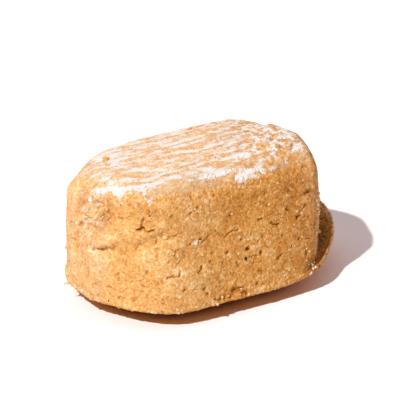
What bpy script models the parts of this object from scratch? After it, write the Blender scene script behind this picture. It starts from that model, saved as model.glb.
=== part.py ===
"""Polvoron: one compact crumbly biscuit, pressed by hand into a small oval loaf.

One solid. It lies on a slightly domed underside, so its bottom edge stands a
little clear of the table. At one end that edge is squeezed out into a lip that
curls up a little behind its thick rim. +X runs along the biscuit towards the
lip, +Z is up, and the origin is the middle of the bounding box at table height.

All lengths below are in millimetres and become metres in the mesh.
"""

import math

import bmesh
import bpy
import numpy as np
from mathutils import Vector

MM = 0.001

# ---------------------------------------------------------------- main sizes
HEIGHT = 24.3          # table to the rim of the top
CROWN = 0.7            # the top rises this much more towards its middle
EDGE_Z = 3.2           # height of the bottom edge above the table
EDGE_R = 0.5           # half thickness of the bottom edge
EDGE_OUT = 0.25        # how far the bottom edge stands out from the wall
UNDERCUT = 7.0         # how far the resting face is set in from the bottom edge
FILLET = 4.0           # height over which the edge fairs into the wall
CORNER = 16.0          # how tightly the flattened sides meet (more is sharper)

# The oval has nine flattened sides, as pressed dough has. For each: the way it
# faces (degrees from +X), its distance from the middle at the bottom edge and
# at the top, and the radius of the rim over it.
SIDES = (
    # faces, bottom, top, rim
    (30.0, 22.1, 18.6, 6.8),
    (90.0, 15.0, 10.9, 3.8),      # back, leaning in
    (135.0, 21.6, 19.6, 7.0),
    (180.0, 22.8, 24.6, 4.8),     # blunt end, leaning out a little
    (215.0, 20.8, 20.0, 3.4),
    (245.0, 19.3, 15.3, 4.6),     # front corner, cut deeper towards the top
    (272.0, 14.7, 11.0, 5.2),     # front, leaning in
    (322.0, 19.8, 20.1, 6.2),
    (350.0, 21.6, 19.3, 3.9),     # lip end
)

# The lip: largest where it faces LIP_FACES, gone this many degrees to either side.
LIP_FACES = 15.0
LIP_FRONT = 71.0
LIP_BACK = 38.0
LIP_OUT = 3.7          # how far it stands out
LIP_TAPER = (1.3, 1.8) # how much sooner it narrows than it sinks, front and back
LIP_LIFT = 3.4         # how far its rim is lifted above the rest of the edge
LIP_R = 0.5            # how much thicker than the edge its rim is, to each side
LIP_DIP = 1.7          # depth of the hollow between its rim and the wall

# Hollows (positive depth) and swellings (negative) of the pressed surface:
# direction from the middle, height, half width around, half width up, depth.
# Degrees and mm.
DENTS = (
    (199.0, 17.6, 3.0, 1.5, 0.75),    # thumb mark under the rim, blunt end
    (195.0, 12.0, 3.4, 1.0, 0.50),    # crease across the blunt end
    (208.0, 13.8, 3.2, 1.0, 0.45),    # soft groove climbing from it
    (220.0, 15.2, 2.6, 1.1, 0.40),
    (184.0, 20.0, 1.4, 2.6, 0.35),    # upright smear near the corner
    (257.0, 3.3, 1.8, 0.9, 0.18),     # crumbled nick in the bottom edge
    (18.0, 23.6, 0.8, 0.9, 0.45),     # nick in the far rim
    (12.0, 23.5, 1.1, 0.9, -0.30),    # and the swelling beside it
    (166.0, 22.3, 3.0, 1.4, 0.42),    # rim pressed down at the blunt end
    (181.0, 4.6, 5.0, 2.0, -0.45),    # bottom edge bulging under it
    (128.0, 12.0, 6.0, 3.0, 0.40),    # unseen back, kept lightly uneven
    (60.0, 15.0, 5.0, 3.5, 0.35),
    (95.0, 9.0, 7.0, 2.5, -0.30),
    (300.0, 10.0, 5.0, 4.0, -0.20),
    (240.0, 9.0, 6.0, 4.0, -0.20),
)

# ------------------------------------------------------------ mesh resolution
AROUND = 120           # points round the outline
N_UNDER = 5            # rings of the underside
N_FILLET = 5           # rings from the edge or the lip to the wall
N_WALL = 5             # rings of the wall
N_RIM = 7              # rings of the rim's quarter round
N_TOP = 5              # rings of the top

FACES = np.radians([row[0] for row in SIDES])
BOTTOM = np.array([row[1] for row in SIDES])
TOP = np.array([row[2] for row in SIDES])
RIM = np.array([row[3] for row in SIDES])


def outline(distances, phi):
    """Radius of the rounded nine-sided oval in the directions phi."""
    facing = np.maximum(0.0, np.cos(phi[:, None] - FACES[None]))
    return ((facing / distances) ** CORNER).sum(1) ** (-1.0 / CORNER)


def share(phi):
    """How much each side has to say in each direction; rows add up to one."""
    facing = np.maximum(0.0, np.cos(phi[:, None] - FACES[None]))
    weight = (facing / BOTTOM) ** CORNER
    return weight / weight.sum(1, keepdims=True)


def lip(phi):
    """1 at the middle of the lip, 0 where there is none."""
    away = (np.degrees(phi) - LIP_FACES + 180.0) % 360.0 - 180.0
    away = np.clip(away / np.where(away < 0.0, LIP_FRONT, LIP_BACK), -1.0, 1.0)
    return np.maximum(0.0, np.cos(np.radians(away * 90.0))) ** 1.1


def lip_reach(phi):
    """How far the lip stands out: 1 at its middle, narrowing towards its ends."""
    away = (np.degrees(phi) - LIP_FACES + 180.0) % 360.0 - 180.0
    return lip(phi) ** np.where(away < 0.0, LIP_TAPER[0], LIP_TAPER[1])


def side_distances(level):
    """Distances of the sides at a level from 0 (bottom edge) to 1 (top)."""
    return BOTTOM + (TOP - BOTTOM) * level


def rings():
    """Rings of points from the resting face up to the top."""
    phi = np.linspace(0.0, 2.0 * math.pi, AROUND, endpoint=False)
    rim = share(phi) @ RIM
    span = HEIGHT - EDGE_Z
    out = EDGE_OUT + LIP_OUT * lip_reach(phi)
    edge_z = EDGE_Z + LIP_LIFT * lip(phi)
    edge_r = EDGE_R + LIP_R * lip(phi)
    made = []

    def ring(distances, z, wider=0.0):
        r = outline(distances, phi) + wider
        z = np.broadcast_to(z, phi.shape)
        made.append(np.stack([r * np.cos(phi), r * np.sin(phi), z], 1))

    # resting face, flat on the table
    ring((BOTTOM - UNDERCUT) * 0.55, 0.0)
    ring(BOTTOM - UNDERCUT, 0.0)
    # domed underside out to the bottom edge
    for k in np.linspace(0.0, 1.0, N_UNDER + 1)[1:]:
        ring(BOTTOM - UNDERCUT * (1.0 - k), (edge_z - edge_r) * k ** 1.15, out * k ** 1.5 - 0.6 * edge_r * k)
    # thick edge
    ring(BOTTOM, edge_z, out)
    ring(BOTTOM, edge_z + edge_r, out - 0.4 * edge_r)
    # from there over the hollow of the lip and up into the wall
    for k in np.linspace(0.0, 1.0, N_FILLET + 1)[1:]:
        left = (1.0 - k) ** 2.0
        climb = 1.0 - (1.0 - k) ** 0.57
        dip = LIP_DIP * lip_reach(phi) ** 0.45 * 4.0 * left * (1.0 - left)
        z = edge_z + edge_r + (EDGE_Z + FILLET - edge_z - edge_r) * climb - dip
        level = FILLET * climb / span
        ring(side_distances(level), z, (out - 0.4 * edge_r) * left)
    # wall
    for k in np.linspace(0.0, 1.0, N_WALL + 1)[1:-1]:
        z = EDGE_Z + FILLET + (HEIGHT - rim - EDGE_Z - FILLET) * k
        ring(side_distances(float(((z - EDGE_Z) / span).mean())), z)
    # rim
    for k in np.linspace(0.0, 1.0, N_RIM + 1):
        turn = k * math.pi / 2.0
        z = HEIGHT - rim * (1.0 - math.sin(turn))
        level = float(((z - EDGE_Z) / span).mean())
        ring(side_distances(level) - RIM * (1.0 - math.cos(turn)), z)
    # crowned top
    for k in np.linspace(1.0, 0.0, N_TOP + 1)[1:-1]:
        ring((TOP - RIM) * k, HEIGHT + CROWN * (1.0 - k ** 2))
    return np.array(made)


def wall_radius(direction, height):
    """Distance of the wall or rim from the middle at a direction and height."""
    phi = np.array([math.radians(direction)])
    rim = float((share(phi) @ RIM)[0])
    level = (height - EDGE_Z) / (HEIGHT - EDGE_Z)
    above = max(0.0, height - (HEIGHT - rim))
    inset = RIM / rim * (rim - math.sqrt(max(0.0, rim ** 2 - above ** 2)))
    return float(outline(side_distances(max(0.0, level)) - inset, phi)[0])


def dent_depth(points):
    """Depth of the hollows at the points, measured along the surface."""
    depth = np.zeros(len(points))
    for direction, height, wide, tall, deep in DENTS:
        turn = math.radians(direction)
        radius = wall_radius(direction, height)
        centre = np.array([radius * math.cos(turn), radius * math.sin(turn), height])
        across = np.array([-math.sin(turn), math.cos(turn), 0.0])
        away = points - centre
        along = away @ across
        inward = away[:, 0] * math.cos(turn) + away[:, 1] * math.sin(turn)
        depth += deep * np.exp(-((along / wide) ** 2 + (away[:, 2] / tall) ** 2
                                 + (inward / max(wide, tall)) ** 2))
    return depth


def build_biscuit():
    made = rings()
    count = len(made)
    points = made.reshape(-1, 3)
    mesh = bpy.data.meshes.new("polvoron")
    bm = bmesh.new()
    verts = [bm.verts.new(Vector(p)) for p in points]
    low = bm.verts.new(Vector((0.0, 0.0, 0.0)))
    high = bm.verts.new(Vector((0.0, 0.0, HEIGHT + CROWN)))

    def at(ring, i):
        return verts[ring * AROUND + i % AROUND]

    for i in range(AROUND):
        bm.faces.new((low, at(0, i + 1), at(0, i)))
        bm.faces.new((high, at(count - 1, i), at(count - 1, i + 1)))
        for ring in range(count - 1):
            # split each four-sided patch so that it stays exact
            a, b = at(ring, i), at(ring, i + 1)
            c, d = at(ring + 1, i + 1), at(ring + 1, i)
            bm.faces.new((a, b, c))
            bm.faces.new((a, c, d))
    bm.normal_update()

    # press the hollows in, leaving the resting face flat
    depth = dent_depth(points)
    for vert, deep in zip(verts, depth):
        if vert.co.z > EDGE_Z * 0.5 and abs(deep) > 1e-4:
            vert.co -= vert.normal * float(deep)

    # the origin goes to the middle of the bounding box, at table height
    xs = [v.co.x for v in bm.verts]
    ys = [v.co.y for v in bm.verts]
    middle = Vector(((min(xs) + max(xs)) / 2.0, (min(ys) + max(ys)) / 2.0, 0.0))
    for vert in bm.verts:
        vert.co = (vert.co - middle) * MM
    bm.to_mesh(mesh)
    bm.free()
    mesh.shade_smooth()
    biscuit = bpy.data.objects.new("polvoron", mesh)
    bpy.context.scene.collection.objects.link(biscuit)
    return biscuit


def crumb_material():
    """Baked flour and sugar dough: golden tan, dry and matt."""
    material = bpy.data.materials.new("biscuit_crumb")
    material.use_nodes = True
    shader = material.node_tree.nodes["Principled BSDF"]
    shader.inputs["Base Color"].default_value = (0.72, 0.42, 0.17, 1.0)
    shader.inputs["Roughness"].default_value = 0.85
    shader.inputs["Metallic"].default_value = 0.0
    return material


def main():
    for old in list(bpy.data.objects):
        bpy.data.objects.remove(old, do_unlink=True)
    biscuit = build_biscuit()
    biscuit.data.materials.append(crumb_material())


main()
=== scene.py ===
"""Polvoron: the looks of one compact, crumbly biscuit dusted with white flour.

The form repeats the named sizes of the solid, and everything finer than them
is made here: the grain of the pressed crumb, the shallow drag lines of the top,
dents, cracks and pits, the flour dusting, and loose crumbs and specks.
Lengths are in millimetres and become metres when a mesh is written.
Pixel positions are in a square frame of 416 by 416.
"""

import math

import bpy
import numpy as np
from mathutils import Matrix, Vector
from mathutils.bvhtree import BVHTree


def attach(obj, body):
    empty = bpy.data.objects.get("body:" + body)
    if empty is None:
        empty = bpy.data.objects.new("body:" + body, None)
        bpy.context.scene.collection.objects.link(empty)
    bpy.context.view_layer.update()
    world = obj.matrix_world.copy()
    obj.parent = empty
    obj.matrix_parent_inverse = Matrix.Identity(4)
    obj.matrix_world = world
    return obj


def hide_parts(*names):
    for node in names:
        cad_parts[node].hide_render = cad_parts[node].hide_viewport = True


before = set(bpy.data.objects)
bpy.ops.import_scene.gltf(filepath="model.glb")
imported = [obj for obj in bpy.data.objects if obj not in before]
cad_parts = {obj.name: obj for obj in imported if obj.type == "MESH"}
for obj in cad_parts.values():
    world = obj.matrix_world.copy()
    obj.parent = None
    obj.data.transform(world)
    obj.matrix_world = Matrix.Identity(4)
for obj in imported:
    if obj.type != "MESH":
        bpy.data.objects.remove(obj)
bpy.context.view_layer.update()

MM = 0.001

# ============================================================ sizes of the form
HEIGHT = 24.3
CROWN = 0.7
EDGE_Z = 3.2
EDGE_R = 0.5
EDGE_OUT = 0.25
UNDERCUT = 7.0
FILLET = 4.0
CORNER = 16.0
SIDES = (
    # faces, bottom, top, rim
    (30.0, 22.1, 18.6, 6.8),
    (90.0, 15.0, 10.9, 3.8),
    (135.0, 21.6, 19.6, 7.0),
    (180.0, 22.8, 24.6, 4.8),
    (215.0, 20.8, 20.0, 3.4),
    (245.0, 19.3, 15.3, 4.6),
    (272.0, 14.7, 11.0, 5.2),
    (322.0, 19.8, 20.1, 6.2),
    (350.0, 21.6, 19.3, 3.9),
)
LIP_FACES = 15.0
LIP_FRONT = 71.0
LIP_BACK = 38.0
LIP_OUT = 3.7
LIP_TAPER = (1.3, 1.8)
LIP_LIFT = 3.4
LIP_R = 0.5
LIP_DIP = 1.7
DENTS = (
    # direction, height, half width around, half width up, depth
    (199.0, 17.6, 3.0, 1.5, 0.75),
    (195.0, 12.0, 3.4, 1.0, 0.50),
    (208.0, 13.8, 3.2, 1.0, 0.45),
    (220.0, 15.2, 2.6, 1.1, 0.40),
    (184.0, 20.0, 1.4, 2.6, 0.35),
    (257.0, 3.3, 1.8, 0.9, 0.18),
    (18.0, 23.6, 0.8, 0.9, 0.45),
    (12.0, 23.5, 1.1, 0.9, -0.30),
    (166.0, 22.3, 3.0, 1.4, 0.42),
    (181.0, 4.6, 5.0, 2.0, -0.45),
    (128.0, 12.0, 6.0, 3.0, 0.40),
    (60.0, 15.0, 5.0, 3.5, 0.35),
    (95.0, 9.0, 7.0, 2.5, -0.30),
    (300.0, 10.0, 5.0, 4.0, -0.20),
    (240.0, 9.0, 6.0, 4.0, -0.20),
)
FACES = np.radians([row[0] for row in SIDES])
BOTTOM = np.array([row[1] for row in SIDES])
TOP = np.array([row[2] for row in SIDES])
RIM = np.array([row[3] for row in SIDES])
SPAN = HEIGHT - EDGE_Z
SPINE = (-13.0, 9.0, 1.4)      # the top's rings close on this line: x from, x to, y


# ===================================================================== noise
def hashed(cell, seed):
    """Repeatable values from 0 to 1 for whole-number cells."""
    c = cell.astype(np.int64).astype(np.uint64)
    n = (c[:, 0] * np.uint64(73856093)) ^ (c[:, 1] * np.uint64(19349663)) ^ (c[:, 2] * np.uint64(83492791))
    n = (n + np.uint64(seed * 2654435761 % 4294967296)) & np.uint64(0xFFFFFFFF)
    n = ((n ^ (n >> np.uint64(15))) * np.uint64(2246822519)) & np.uint64(0xFFFFFFFF)
    n = ((n ^ (n >> np.uint64(13))) * np.uint64(3266489917)) & np.uint64(0xFFFFFFFF)
    n = n ^ (n >> np.uint64(16))
    return n.astype(float) / 4294967295.0


def noise(p, seed=0):
    """Smooth noise, about -1 to 1, one unit from swell to swell."""
    p = np.asarray(p, float)
    base = np.floor(p)
    f = p - base
    w = f * f * f * (f * (f * 6.0 - 15.0) + 10.0)
    total = np.zeros(len(p))
    for corner in ((i, j, k) for i in (0, 1) for j in (0, 1) for k in (0, 1)):
        cell = base + corner
        slope = np.stack([hashed(cell, seed * 3 + a) for a in range(3)], 1) * 2.0 - 1.0
        weight = np.prod([w[:, a] if corner[a] else 1.0 - w[:, a] for a in range(3)], 0)
        total += weight * (slope * (f - corner)).sum(1)
    return total * 1.6


def layered(p, seed, layers=3, fall=0.5):
    total, size, scale = np.zeros(len(p)), 1.0, 1.0
    for i in range(layers):
        total += size * noise(p * scale, seed + i)
        size *= fall
        scale *= 2.03
    return total


def nearest(p, seed):
    """Distances to the nearest and next nearest of scattered points, one to a
    cell, and a value of its own for the nearest."""
    base = np.floor(p)
    first, second, own = np.full(len(p), 9.0), np.full(len(p), 9.0), np.zeros(len(p))
    for corner in ((i, j, k) for i in (-1, 0, 1) for j in (-1, 0, 1) for k in (-1, 0, 1)):
        cell = base + corner
        spot = cell + np.stack([hashed(cell, seed * 5 + a) for a in range(3)], 1)
        away = np.sqrt(((p - spot) ** 2).sum(1))
        closer = away < first
        second = np.where(closer, first, np.minimum(second, away))
        own = np.where(closer, hashed(cell, seed * 5 + 3), own)
        first = np.where(closer, away, first)
    return first, second, own


def step(low, high, x):
    t = np.clip((np.asarray(x, float) - low) / (high - low), 0.0, 1.0)
    return t * t * (3.0 - 2.0 * t)


# ====================================================================== form
def outline(distances, phi):
    facing = np.maximum(0.0, np.cos(phi[:, None] - FACES[None]))
    return ((facing / distances) ** CORNER).sum(1) ** (-1.0 / CORNER)


def share(phi):
    facing = np.maximum(0.0, np.cos(phi[:, None] - FACES[None]))
    weight = (facing / BOTTOM) ** CORNER
    return weight / weight.sum(1, keepdims=True)


def lip_share(phi):
    away = (np.degrees(phi) - LIP_FACES + 180.0) % 360.0 - 180.0
    away = np.clip(away / np.where(away < 0.0, LIP_FRONT, LIP_BACK), -1.0, 1.0)
    return np.maximum(0.0, np.cos(np.radians(away * 90.0))) ** 1.1


def lip_reach(phi):
    away = (np.degrees(phi) - LIP_FACES + 180.0) % 360.0 - 180.0
    return lip_share(phi) ** np.where(away < 0.0, LIP_TAPER[0], LIP_TAPER[1])


def side_distances(level):
    return BOTTOM + (TOP - BOTTOM) * level


def directions(count):
    """Directions spaced evenly along the outline, from phi 0 round."""
    fine = np.linspace(0.0, 2.0 * math.pi, 6001)
    r = outline(side_distances(0.4), fine)
    x, y = r * np.cos(fine), r * np.sin(fine)
    length = np.concatenate([[0.0], np.cumsum(np.hypot(np.diff(x), np.diff(y)))])
    return np.interp(np.linspace(0.0, length[-1], count, endpoint=False), length, fine)


class Form:
    """Rings of points with the faces between them, closed at both ends."""

    def __init__(self, around, lip, wall, rim, top, under, base):
        self.points, self.faces = [], []
        phi = directions(around)
        even = np.linspace(0.0, 2.0 * math.pi, 120, endpoint=False)
        mean_rim = float((share(even) @ RIM).mean())
        rim_here = share(phi) @ RIM

        def ring(distances, z, turn=phi, wider=0.0):
            r = outline(distances, turn) + wider
            z = np.broadcast_to(z, turn.shape)
            return np.stack([r * np.cos(turn), r * np.sin(turn), z], 1)

        rows = []
        half = phi[::2]
        there = lip_share(half)
        out = EDGE_OUT + LIP_OUT * lip_reach(half)
        low_z = EDGE_Z + LIP_LIFT * there - EDGE_R - LIP_R * there
        foot = ring(BOTTOM - UNDERCUT, 0.0, half)
        for k in np.linspace(0.0, 1.0, base + 1)[1:-1]:
            inner = self.towards_spine(foot, k)
            inner[:, 2] = 0.0
            rows.append(inner)
        rows.append(foot)
        for k in np.linspace(0.0, 1.0, under + 1)[1:]:
            rows.append(ring(BOTTOM - UNDERCUT * (1.0 - k), low_z * k ** 1.15, half,
                             out * k ** 1.5 - 0.6 * (EDGE_R + LIP_R * there) * k))
        # thick edge, rounded
        there = lip_share(phi)
        out = EDGE_OUT + LIP_OUT * lip_reach(phi)
        edge_z = EDGE_Z + LIP_LIFT * there
        edge_r = EDGE_R + LIP_R * there
        for k in (-0.75, -0.4, 0.0, 0.4, 0.75, 1.0):
            low = 0.6 if k < 0 else 0.4
            rows.append(ring(BOTTOM, edge_z + edge_r * k, phi, out - edge_r * low * (1.0 - math.sqrt(1.0 - k * k))))
        # over the hollow of the lip and up into the wall
        for k in np.linspace(0.0, 1.0, lip + 1)[1:]:
            left = (1.0 - k) ** 2.0
            climb = 1.0 - (1.0 - k) ** 0.57
            dip = LIP_DIP * lip_reach(phi) ** 0.45 * 4.0 * left * (1.0 - left)
            z = edge_z + edge_r + (EDGE_Z + FILLET - edge_z - edge_r) * climb - dip
            rows.append(ring(side_distances(FILLET * climb / SPAN), z, phi, (out - 0.4 * edge_r) * left))
        for k in np.linspace(0.0, 1.0, wall + 1)[1:-1]:
            z = EDGE_Z + FILLET + (HEIGHT - rim_here - EDGE_Z - FILLET) * k
            mean_z = EDGE_Z + FILLET + (HEIGHT - mean_rim - EDGE_Z - FILLET) * k
            rows.append(ring(side_distances((mean_z - EDGE_Z) / SPAN), z))
        for k in np.linspace(0.0, 1.0, rim + 1):
            turn = k * math.pi / 2.0
            z = HEIGHT - rim_here * (1.0 - math.sin(turn))
            level = (HEIGHT - mean_rim * (1.0 - math.sin(turn)) - EDGE_Z) / SPAN
            rows.append(ring(side_distances(level) - RIM * (1.0 - math.cos(turn)), z))
        crest = ring(TOP - RIM, HEIGHT)
        for k in np.linspace(1.0, 0.0, top + 1)[1:-1]:
            inner = self.towards_spine(crest, k)
            turn = np.arctan2(inner[:, 1], inner[:, 0])
            reach = np.hypot(inner[:, 0], inner[:, 1]) / outline(TOP - RIM, turn)
            inner[:, 2] = HEIGHT + CROWN * (1.0 - np.minimum(1.0, reach) ** 2)
            rows.append(inner)

        starts, total = [], 0
        for row in rows:
            starts.append(total)
            total += len(row)
        self.points = np.concatenate(rows)
        for n in range(len(rows) - 1):
            self.join(starts[n], len(rows[n]), starts[n + 1], len(rows[n + 1]))
        self.close(starts[0], len(rows[0]), False)
        self.close(starts[-1], len(rows[-1]), True)
        self.faces = np.array(self.faces, dtype=np.int64)

    @staticmethod
    def towards_spine(crest, k):
        low, high = crest[:, 0].min(), crest[:, 0].max()
        x = SPINE[0] + (crest[:, 0] - low) * (SPINE[1] - SPINE[0]) / (high - low)
        centre = np.stack([x, np.full(len(x), SPINE[2]), crest[:, 2]], 1)
        return centre + k * (crest - centre)

    def join(self, a, na, b, nb):
        """Faces between a lower ring and the ring above it."""
        if na == nb:
            i = np.arange(na)
            j = (i + 1) % na
            self.faces += np.stack([a + i, a + j, b + j], 1).tolist()
            self.faces += np.stack([a + i, b + j, b + i], 1).tolist()
            return
        for i in range(na):      # the ring above has twice as many points
            j, k, m, n = (i + 1) % na, 2 * i, 2 * i + 1, (2 * i + 2) % nb
            self.faces += [[a + i, b + m, b + k], [a + i, a + j, b + m], [a + j, b + n, b + m]]

    def close(self, start, count, up):
        """Fills the slit inside a ring by walking along both of its sides."""
        x = self.points[start:start + count, 0]
        far = int(np.argmin(x))
        one = list(range(0, far + 1))
        two = [0] + list(range(count - 1, far - 1, -1))
        made = [(0, one[1], two[1])]
        i = j = 1
        while True:
            room_i, room_j = i < len(one) - 1, j < len(two) - 1
            if not room_i and j >= len(two) - 2:
                break
            if not room_j and i >= len(one) - 2:
                break
            if room_i and (not room_j or x[one[i + 1]] >= x[two[j + 1]]):
                made.append((one[i], one[i + 1], two[j]))
                i += 1
            else:
                made.append((two[j], one[i], two[j + 1]))
                j += 1
        for a, b, c in made:
            self.faces.append([start + a, start + b, start + c] if up else [start + a, start + c, start + b])


def normals_of(points, faces):
    a, b, c = (points[faces[:, i]] for i in range(3))
    flat = np.cross(b - a, c - a)
    total = np.zeros_like(points)
    for i in range(3):
        np.add.at(total, faces[:, i], flat)
    return total / np.maximum(1e-12, np.linalg.norm(total, axis=1, keepdims=True))


def wall_radius(direction, height):
    phi = np.array([math.radians(direction)])
    rim = float((share(phi) @ RIM)[0])
    above = max(0.0, height - (HEIGHT - rim))
    inset = RIM / rim * (rim - math.sqrt(max(0.0, rim ** 2 - above ** 2)))
    return float(outline(side_distances(max(0.0, (height - EDGE_Z) / SPAN)) - inset, phi)[0])


def dent_depth(points):
    depth = np.zeros(len(points))
    for direction, height, wide, tall, deep in DENTS:
        turn = math.radians(direction)
        radius = wall_radius(direction, height)
        centre = np.array([radius * math.cos(turn), radius * math.sin(turn), height])
        away = points - centre
        along = away @ np.array([-math.sin(turn), math.cos(turn), 0.0])
        inward = away[:, 0] * math.cos(turn) + away[:, 1] * math.sin(turn)
        depth += deep * np.exp(-((along / wide) ** 2 + (away[:, 2] / tall) ** 2
                                 + (inward / max(wide, tall)) ** 2))
    return depth


# the peak of the crown is over the middle that the sides are measured from,
# so it tells where the origin of the solid lies from there
peak = max((v.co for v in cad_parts["polvoron"].data.vertices), key=lambda co: co.z)
MIDDLE = np.array([-peak.x / MM, -peak.y / MM, 0.0])


# ==================================================================== camera
TARGET = np.array([0.0, 0.0, 12.0]) - MIDDLE
TARGET_PIXEL = (201.0, 214.0)
PIXELS_PER_MM = 5.95
DISTANCE = 510.0
TURN, LIFT = math.radians(-30.0), math.radians(25.0)
BACK = np.array([math.sin(TURN) * math.cos(LIFT), -math.cos(TURN) * math.cos(LIFT), math.sin(LIFT)])
RIGHT = np.array([math.cos(TURN), math.sin(TURN), 0.0])
UP = np.cross(BACK, RIGHT)
AIM = (TARGET + RIGHT * (208.0 - TARGET_PIXEL[0]) / PIXELS_PER_MM
       - UP * (208.0 - TARGET_PIXEL[1]) / PIXELS_PER_MM)
EYE = AIM + BACK * DISTANCE
FOCAL = PIXELS_PER_MM * DISTANCE

rough = Form(160, 6, 8, 9, 8, 6, 3)
rough_points = rough.points - MIDDLE
tree = BVHTree.FromPolygons([Vector(p) for p in rough_points], rough.faces.tolist())


def on_surface(px, py):
    """The point of the biscuit that a pixel looks at, or None."""
    ray = RIGHT * (px - 208.0) / FOCAL - UP * (py - 208.0) / FOCAL - BACK
    hit = tree.ray_cast(Vector(EYE), Vector(ray).normalized())
    if hit[0] is None:
        return None
    return np.array(hit[0]), np.array(hit[1])


def along_surface(path, spacing=0.18):
    """Points close together on the biscuit under a line of pixels."""
    made = []
    for (ax, ay), (bx, by) in zip(path[:-1], path[1:]):
        count = max(2, int(math.hypot(bx - ax, by - ay) / PIXELS_PER_MM / spacing))
        for t in np.linspace(0.0, 1.0, count):
            hit = on_surface(ax + (bx - ax) * t, ay + (by - ay) * t)
            if hit is not None:
                made.append(hit[0])
    return np.array(made)


# ============================================================ named features
CRACKS = (
    # line in pixels, half width and depth in mm
    (((143.2, 219.2), (142.4, 221.8), (141.8, 225.4), (141.0, 228.4)), 0.15, 0.50),
    (((137.6, 230.6), (140.4, 230.0), (143.4, 228.8)), 0.24, 0.75),
    (((143.4, 228.8), (145.6, 231.6), (149.0, 231.8), (153.8, 230.4)), 0.17, 0.50),
    (((167.0, 277.9), (171.6, 276.4), (176.6, 276.9), (179.7, 275.3)), 0.09, 0.40),
    (((179.7, 275.3), (179.8, 272.0)), 0.11, 0.45),
    (((225.4, 236.6), (228.8, 233.2), (233.2, 230.9), (238.2, 229.8)), 0.11, 0.36),
    (((259.6, 220.2), (262.6, 218.4)), 0.15, 0.45),
    (((270.6, 222.6), (274.9, 225.0), (278.2, 224.0)), 0.13, 0.55),
    (((287.2, 207.6), (287.6, 210.4), (293.0, 213.7)), 0.10, 0.35),
    (((168.0, 239.6), (171.6, 238.3), (177.2, 235.4)), 0.09, 0.30),
    (((96.5, 249.7), (100.6, 249.9), (105.6, 248.3)), 0.14, 0.30),
    (((93.0, 186.6), (97.6, 184.0)), 0.14, 0.36),
    (((90.4, 201.8), (88.4, 205.6)), 0.16, 0.34),
    (((84.6, 211.5), (82.6, 217.0)), 0.16, 0.34),
    (((296.4, 219.6), (299.4, 216.8), (303.0, 215.4)), 0.13, 0.34),
    (((306.6, 238.8), (310.2, 238.6)), 0.11, 0.36),
    (((279.4, 256.0), (282.0, 253.4)), 0.10, 0.34),
    (((175.4, 254.6), (176.2, 251.4), (179.0, 249.8)), 0.10, 0.28),
    (((186.0, 193.4), (189.6, 194.4), (191.6, 198.2)), 0.15, 0.30),
    (((315.0, 221.6), (315.4, 225.4), (315.0, 228.0)), 0.17, 0.55),
    (((180.4, 262.0), (177.0, 264.4)), 0.10, 0.25),
    (((122.6, 234.6), (117.6, 235.6)), 0.11, 0.28),
    (((244.2, 183.6), (249.0, 185.4), (254.6, 183.8)), 0.12, 0.25),
    (((268.0, 140.0), (272.6, 137.4)), 0.20, 0.40),
    (((249.6, 257.0), (253.6, 255.4), (256.4, 256.2)), 0.09, 0.28),
    (((236.4, 262.6), (239.0, 266.0)), 0.09, 0.26),
    (((203.0, 243.0), (205.6, 240.0), (209.4, 239.6)), 0.08, 0.24),
)
PITS = (
    # pixel, radius and depth in mm
    (248.1, 248.6, 0.42, 0.80), (260.9, 252.4, 0.36, 0.50), (259.2, 269.6, 0.34, 0.50),
    (257.6, 283.0, 0.30, 0.35), (309.4, 191.8, 0.46, 0.60), (306.2, 193.4, 0.30, 0.35),
    (305.7, 205.4, 0.34, 0.45), (298.2, 218.0, 0.36, 0.50), (299.0, 238.6, 0.24, 0.40),
    (234.4, 288.6, 0.50, 0.32), (238.8, 291.2, 0.50, 0.35), (246.6, 293.2, 0.60, 0.60),
    (243.6, 294.6, 0.40, 0.45),
    (117.8, 218.3, 0.20, 0.35), (121.0, 219.6, 0.24, 0.35), (114.3, 231.2, 0.22, 0.35),
    (172.6, 217.2, 0.34, 0.25), (135.6, 250.0, 0.26, 0.35), (156.9, 243.4, 0.22, 0.35),
    (81.6, 223.8, 0.44, 0.60), (93.4, 236.4, 0.24, 0.35), (201.6, 268.6, 0.40, 0.35),
    (198.4, 272.0, 0.34, 0.35), (262.6, 236.4, 0.24, 0.40), (258.0, 241.6, 0.24, 0.30),
    (319.4, 265.6, 0.26, 0.50), (190.6, 244.2, 0.24, 0.35), (106.6, 246.6, 0.24, 0.30),
    (102.6, 160.6, 0.50, 0.35), (241.2, 156.6, 0.34, 0.35), (272.6, 138.4, 0.44, 0.45),
    (254.0, 262.0, 0.24, 0.30), (224.6, 206.2, 0.20, 0.25), (268.0, 205.6, 0.20, 0.25),
    (257.0, 139.6, 0.44, 0.28), (283.6, 142.6, 0.40, 0.28), (293.0, 149.6, 0.40, 0.28), (270.6, 153.0, 0.44, 0.25),
    (284.0, 137.6, 0.34, 0.25), (278.0, 155.6, 0.40, 0.25), (291.0, 158.0, 0.40, 0.25), (263.6, 146.0, 0.36, 0.22),
    (213.0, 254.0, 0.22, 0.25), (212.0, 221.0, 0.18, 0.22), (282.0, 235.4, 0.20, 0.28),
    (169.0, 262.4, 0.22, 0.25), (126.0, 262.0, 0.20, 0.22), (222.4, 262.8, 0.22, 0.25),
)
# the ragged nick in the bottom edge
NICKS = (
    # pixel, radius and depth in mm
    (215.6, 300.4, 0.35, 0.25), (220.6, 299.6, 0.45, 0.34), (226.0, 298.2, 0.45, 0.34),
    (231.0, 297.4, 0.35, 0.28), (233.0, 292.6, 0.55, 0.24), (236.6, 288.6, 0.50, 0.24),
)
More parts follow.
